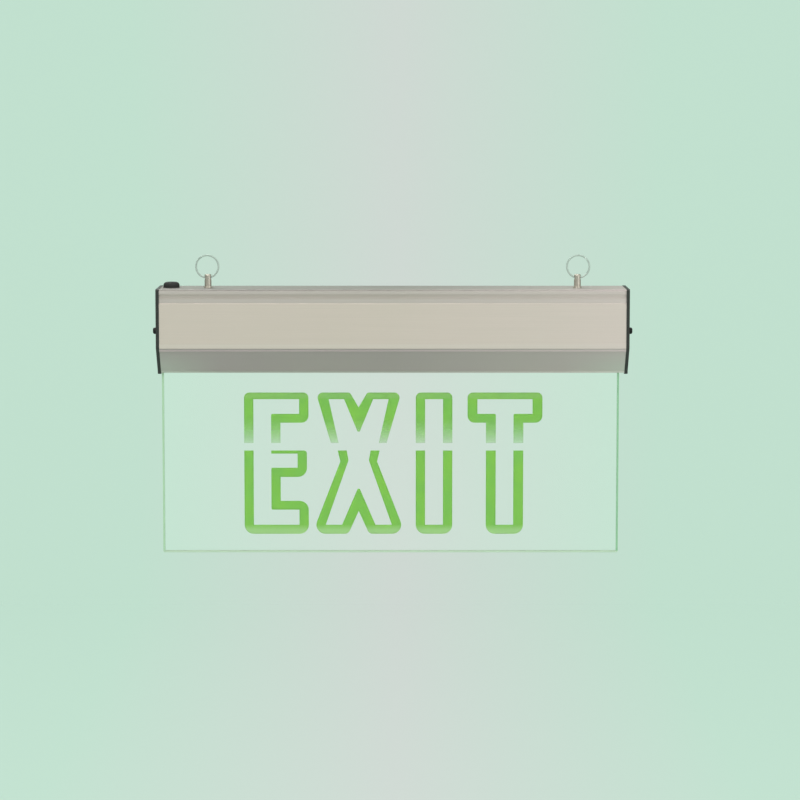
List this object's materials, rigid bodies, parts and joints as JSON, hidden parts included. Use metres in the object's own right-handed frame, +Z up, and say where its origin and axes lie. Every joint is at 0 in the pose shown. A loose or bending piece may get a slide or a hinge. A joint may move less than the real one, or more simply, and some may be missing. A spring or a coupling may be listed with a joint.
{
  "type": "hanging emergency exit light",
  "caption": "Hanging edge-lit emergency exit light: extruded aluminium housing, black end caps, clear sign panel below and split rings on studs to hang it by.",
  "frame": {"origin": "middle of the housing's top face, halfway between the two hanger studs", "axes": "+X along the housing, -Y out of the face that is read, +Z up"},
  "size_m": [0.3596, 0.0503, 0.2269],
  "materials": {
    "anodised_aluminium": "satin anodised, warm silver grey",
    "black_plastic": "moulded, fine matt",
    "blackened_steel": "black oxide, semi matt",
    "turned_steel": "turned, plated",
    "zinc_steel": "zinc plated",
    "nickel_wire": "bright nickel",
    "black_rubber": "moulded rubber",
    "clear_acrylic": "polished, pale green tint",
    "plain_aluminium": "mill finish",
    "board_white": "white solder mask",
    "led_lens": "green LED body",
    "galvanised_sheet": "zinc coated sheet",
    "battery_wrap": "heat shrink sleeve",
    "spring_steel": "plain spring steel",
    "board_green": "green solder mask",
    "iron_core": "varnished laminations",
    "winding_tape": "yellow winding tape",
    "capacitor_sleeve": "printed-free sleeve",
    "relay_case": "moulded",
    "fuse_glass": "clear tube with plated ends",
    "plug_nylon": "natural nylon",
    "lead_sleeve": "PVC insulation",
    "switch_case": "moulded",
    "button_red": "moulded red",
    "indicator_lens": "clear green lens"
  },
  "bodies": {
    "housing": {"battery_clip_left": "spring_steel", "battery_clip_right": "spring_steel", "battery_lead": "lead_sleeve", "battery_pack": "battery_wrap", "battery_plug": "plug_nylon", "board_screws": "zinc_steel", "board_standoffs": "zinc_steel", "cable_grommet": "black_rubber", "capacitors": "capacitor_sleeve", "charge_indicator": "indicator_lens", "control_board": "board_green", "cord_anchor": "black_plastic", "cord_anchor_screws": "zinc_steel", "end_cap_left": "black_plastic", "end_cap_right": "black_plastic", "end_cap_screws": "blackened_steel", "fuse": "fuse_glass", "fuse_clips": "spring_steel", "gear_tray": "galvanised_sheet", "hanger_nut_left": "zinc_steel", "hanger_nut_right": "zinc_steel", "hanger_stud_left": "turned_steel", "hanger_stud_right": "turned_steel", "hanger_washer_left": "zinc_steel", "hanger_washer_right": "zinc_steel", "housing_profile": "anodised_aluminium", "indicator_bezel": "black_plastic", "led_board": "board_white", "led_lead": "lead_sleeve", "led_plug": "plug_nylon", "leds": "led_lens", "panel_clamp_front": "plain_aluminium", "panel_clamp_nuts": "zinc_steel", "panel_clamp_rear": "plain_aluminium", "panel_clamp_screws": "zinc_steel", "relay": "relay_case", "sign_panel": "clear_acrylic", "terminal_block": "plug_nylon", "terminal_screws": "zinc_steel", "test_switch_body": "switch_case", "test_switch_nut": "zinc_steel", "transformer_core": "iron_core", "transformer_winding": "winding_tape"},
    "ring_left": {"split_ring_left": "nickel_wire"},
    "ring_right": {"split_ring_right": "nickel_wire"},
    "test_button_body": {"test_button": "button_red"}
  },
  "joints": [
    {"name": "ring_left_swing", "type": "hinge", "parent": "housing", "child": "ring_left", "pos_m": [-0.1394, 0, 0.0075], "axis": [1, 0, 0], "range_deg": [-110, 110]},
    {"name": "ring_right_swing", "type": "hinge", "parent": "housing", "child": "ring_right", "pos_m": [0.1394, 0, 0.0075], "axis": [1, 0, 0], "range_deg": [-110, 110]},
    {"name": "test_button_press", "type": "slide", "parent": "housing", "child": "test_button_body", "axis": [0, -1, 0], "range_m": [0, 0.0015], "stiffness_N_per_m": 400, "springref_m": -0.001}
  ]
}
